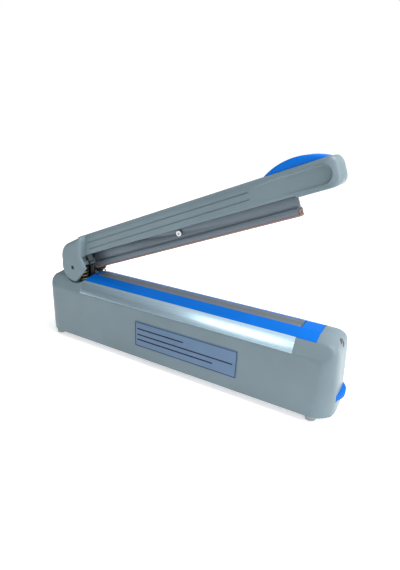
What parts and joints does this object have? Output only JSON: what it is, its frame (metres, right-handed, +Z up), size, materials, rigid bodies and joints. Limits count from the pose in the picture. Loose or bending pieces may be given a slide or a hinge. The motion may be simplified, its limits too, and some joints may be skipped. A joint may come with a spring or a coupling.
{
  "type": "impulse heat sealer",
  "caption": "Hand impulse heat sealer: grey base with a blue-edged heated strip on its ridge and a spring-raised arm that presses a silicone strip on it.",
  "frame": {"origin": "on the table plane under the feet, in the middle of the base's length and width", "axes": "+X from the hinge towards the handle, +Y to the left of that, +Z up; the arm stands raised in the rest pose"},
  "size_m": [0.454, 0.0729, 0.2937],
  "materials": {
    "housing": "fine satin moulding, grey-green",
    "zinc_steel": "zinc plated sheet",
    "foot_rubber": "matt grey rubber",
    "black_steel": "blackened steel",
    "bright_trim": "bright, lengthwise grain",
    "blue_plastic": "semi-gloss blue moulding",
    "phenolic": "brown laminate",
    "nichrome": "resistance ribbon, dull",
    "coated_cloth": "non-stick coated glass cloth, satin",
    "brass_parts": "plain brass",
    "screw_steel": "nickel plated",
    "plate_face": "blank printed plate with a dark edge",
    "core_steel": "varnished laminations",
    "copper_coil": "varnished enamelled copper under tape",
    "circuit_board": "green solder mask",
    "black_plastic": "black moulding",
    "capacitor_sleeve": "shrink sleeve",
    "lamp_red": "dark red lamp lens, unlit",
    "white_plastic": "natural nylon",
    "black_rubber": "soft black rubber",
    "spring_wire": "yellow passivated spring wire",
    "bar_aluminium": "plain extruded aluminium",
    "red_silicone": "red-brown silicone rubber"
  },
  "bodies": {
    "base": {"base_shell": "housing", "base_plate": "zinc_steel", "feet": "foot_rubber", "foot_screws": "screw_steel", "trim_plate_right": "bright_trim", "trim_plate_left": "bright_trim", "bed_frame": "blue_plastic", "seal_bar": "phenolic", "heating_ribbon": "nichrome", "nonstick_cloth": "coated_cloth", "ribbon_terminals": "brass_parts", "terminal_screws": "screw_steel", "bed_carrier": "zinc_steel", "carrier_screws": "screw_steel", "data_plate": "plate_face", "transformer_core": "core_steel", "transformer_coil": "copper_coil", "transformer_strap": "zinc_steel", "strap_screws": "screw_steel", "timer_board": "circuit_board", "board_posts": "brass_parts", "board_screws": "screw_steel", "timer_relay": "black_plastic", "timer_capacitors": "capacitor_sleeve", "timer_chip": "black_plastic", "pot_board": "circuit_board", "pot_body": "zinc_steel", "lamp_lens": "lamp_red", "lamp_body": "white_plastic", "cord_grommet": "black_rubber", "hinge_bracket": "black_steel", "bracket_screws": "screw_steel", "limit_switch": "black_plastic", "switch_screws": "screw_steel", "return_springs": "spring_wire"},
    "arm": {"arm_casing": "housing", "handle_pad": "blue_plastic", "press_bar": "bar_aluminium", "silicone_strip": "red_silicone", "bar_screw": "screw_steel", "hinge_pin": "black_steel", "hinge_sleeves": "white_plastic"},
    "timer_dial": {"timer_wheel": "blue_plastic", "pot_shaft": "bar_aluminium"},
    "plunger": {"switch_plunger": "black_plastic"}
  },
  "joints": [
    {"name": "arm_hinge", "type": "hinge", "parent": "base", "child": "arm", "pos_m": [-0.168, 0, 0.1165], "axis": [0, 1, 0], "range_deg": [0, 21.4], "stiffness_Nm_per_rad": 4, "springref_deg": -17.19, "deforming": ["return_springs"]},
    {"name": "switch_plunger_slide", "type": "slide", "parent": "base", "child": "plunger", "axis": [0, 0, -1], "range_m": [0, 0.0034]},
    {"name": "timer_turn", "type": "hinge", "parent": "base", "child": "timer_dial", "pos_m": [0.201, 0, 0.032], "axis": [0, 0, 1], "range_deg": [0, 270]}
  ],
  "couplings": [
    {"joint": "switch_plunger_slide", "follows": "arm_hinge", "m_per_rad": 0.008977}
  ]
}
